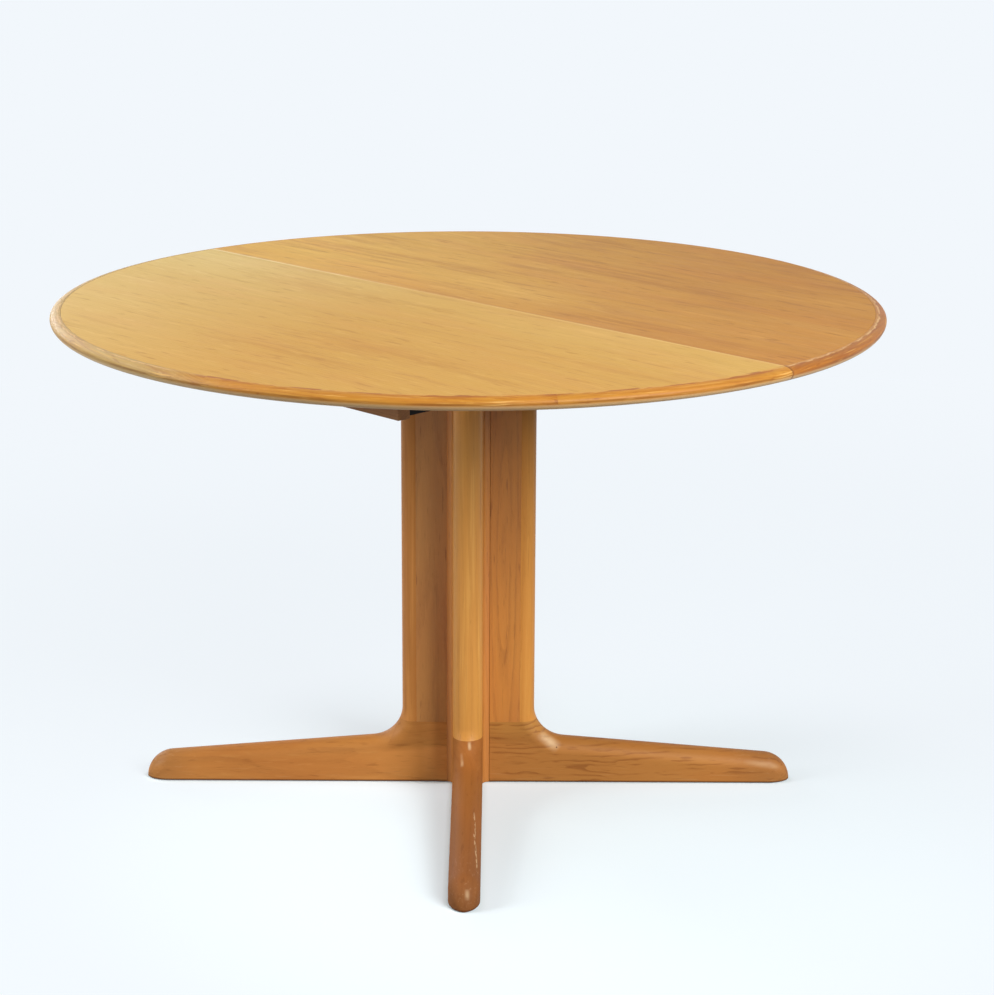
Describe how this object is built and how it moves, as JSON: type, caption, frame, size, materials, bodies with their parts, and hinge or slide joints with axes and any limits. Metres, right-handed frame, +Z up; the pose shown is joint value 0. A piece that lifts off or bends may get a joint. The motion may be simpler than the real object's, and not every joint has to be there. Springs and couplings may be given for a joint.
{
  "type": "extending dining table",
  "caption": "Round oak dining table on a finned pedestal that splits with its top. The halves slide apart on runners under the top and lock together again.",
  "frame": {"origin": "on the floor, below the centre of the round top", "axes": "+Z up; the seam of the top lies along Y, and the near half slides out along -X"},
  "size_m": [1.18, 1.18, 0.727],
  "materials": {
    "near_top_panel": "satin varnish",
    "near_seam_edging": "satin varnish",
    "near_lipping_1": "satin varnish",
    "near_lipping_2": "satin varnish",
    "near_lipping_3": "satin varnish",
    "near_lipping_4": "satin varnish",
    "near_core": "satin varnish",
    "near_bearer": "satin varnish",
    "near_end_rail": "satin varnish",
    "near_rail_screw_1": "zinc plated",
    "near_rail_screw_2": "zinc plated",
    "front_panel": "satin varnish",
    "front_post": "satin varnish",
    "front_leg": "satin varnish",
    "front_glide": "plain",
    "front_fin_screw": "zinc plated",
    "left_panel": "satin varnish",
    "left_post": "satin varnish",
    "left_leg": "satin varnish",
    "left_glide": "plain",
    "left_fin_screw": "zinc plated",
    "left_near_channel": "matt black",
    "right_near_channel": "matt black",
    "seam_pin_1": "plain",
    "seam_pin_2": "plain",
    "seam_pin_3": "plain",
    "left_lock_plate": "zinc plated",
    "left_lock_pivot": "zinc plated",
    "right_lock_plate": "zinc plated",
    "right_lock_pivot": "zinc plated",
    "far_top_panel": "satin varnish",
    "far_seam_edging": "satin varnish",
    "far_lipping_1": "satin varnish",
    "far_lipping_2": "satin varnish",
    "far_lipping_3": "satin varnish",
    "far_lipping_4": "satin varnish",
    "far_core": "satin varnish",
    "far_bearer": "satin varnish",
    "far_end_rail": "satin varnish",
    "far_rail_screw_1": "zinc plated",
    "far_rail_screw_2": "zinc plated",
    "right_panel": "satin varnish",
    "right_post": "satin varnish",
    "right_leg": "satin varnish",
    "right_glide": "plain",
    "right_fin_screw": "zinc plated",
    "back_panel": "satin varnish",
    "back_post": "satin varnish",
    "back_leg": "satin varnish",
    "back_glide": "plain",
    "back_fin_screw": "zinc plated",
    "left_far_channel": "matt black",
    "right_far_channel": "matt black",
    "left_lock_keeper": "zinc plated",
    "right_lock_keeper": "zinc plated",
    "left_slide_bar": "matt black",
    "left_lock_hook": "zinc plated",
    "right_slide_bar": "matt black",
    "right_lock_hook": "zinc plated"
  },
  "bodies": {
    "far_half": {"far_top_panel": "far_top_panel", "far_seam_edging": "far_seam_edging", "far_lipping_1": "far_lipping_1", "far_lipping_2": "far_lipping_2", "far_lipping_3": "far_lipping_3", "far_lipping_4": "far_lipping_4", "far_core": "far_core", "far_bearer": "far_bearer", "far_end_rail": "far_end_rail", "far_rail_screw_1": "far_rail_screw_1", "far_rail_screw_2": "far_rail_screw_2", "right_panel": "right_panel", "right_post": "right_post", "right_leg": "right_leg", "right_glide": "right_glide", "right_fin_screw": "right_fin_screw", "back_panel": "back_panel", "back_post": "back_post", "back_leg": "back_leg", "back_glide": "back_glide", "back_fin_screw": "back_fin_screw", "left_far_channel": "left_far_channel", "right_far_channel": "right_far_channel", "left_lock_keeper": "left_lock_keeper", "right_lock_keeper": "right_lock_keeper"},
    "near_half": {"near_top_panel": "near_top_panel", "near_seam_edging": "near_seam_edging", "near_lipping_1": "near_lipping_1", "near_lipping_2": "near_lipping_2", "near_lipping_3": "near_lipping_3", "near_lipping_4": "near_lipping_4", "near_core": "near_core", "near_bearer": "near_bearer", "near_end_rail": "near_end_rail", "near_rail_screw_1": "near_rail_screw_1", "near_rail_screw_2": "near_rail_screw_2", "front_panel": "front_panel", "front_post": "front_post", "front_leg": "front_leg", "front_glide": "front_glide", "front_fin_screw": "front_fin_screw", "left_panel": "left_panel", "left_post": "left_post", "left_leg": "left_leg", "left_glide": "left_glide", "left_fin_screw": "left_fin_screw", "left_near_channel": "left_near_channel", "right_near_channel": "right_near_channel", "seam_pin_1": "seam_pin_1", "seam_pin_2": "seam_pin_2", "seam_pin_3": "seam_pin_3", "left_lock_plate": "left_lock_plate", "left_lock_pivot": "left_lock_pivot", "right_lock_plate": "right_lock_plate", "right_lock_pivot": "right_lock_pivot"},
    "slide_middle": {"left_slide_bar": "left_slide_bar", "right_slide_bar": "right_slide_bar"},
    "left_lock": {"left_lock_hook": "left_lock_hook"},
    "right_lock": {"right_lock_hook": "right_lock_hook"}
  },
  "joints": [
    {"name": "extend", "type": "slide", "parent": "far_half", "child": "near_half", "axis": [-1, 0, 0], "range_m": [0, 1]},
    {"name": "slide_follow", "type": "slide", "parent": "far_half", "child": "slide_middle", "axis": [-1, 0, 0], "range_m": [0, 0.5]},
    {"name": "left_lock_turn", "type": "hinge", "parent": "near_half", "child": "left_lock", "pos_m": [-0.022, 0.3315, 0.7029], "axis": [0, 0, 1], "range_deg": [0, 90]},
    {"name": "right_lock_turn", "type": "hinge", "parent": "near_half", "child": "right_lock", "pos_m": [-0.022, -0.3315, 0.7029], "axis": [0, 0, -1], "range_deg": [0, 90]}
  ],
  "couplings": [
    {"joint": "slide_follow", "follows": "extend", "ratio": 0.5}
  ]
}
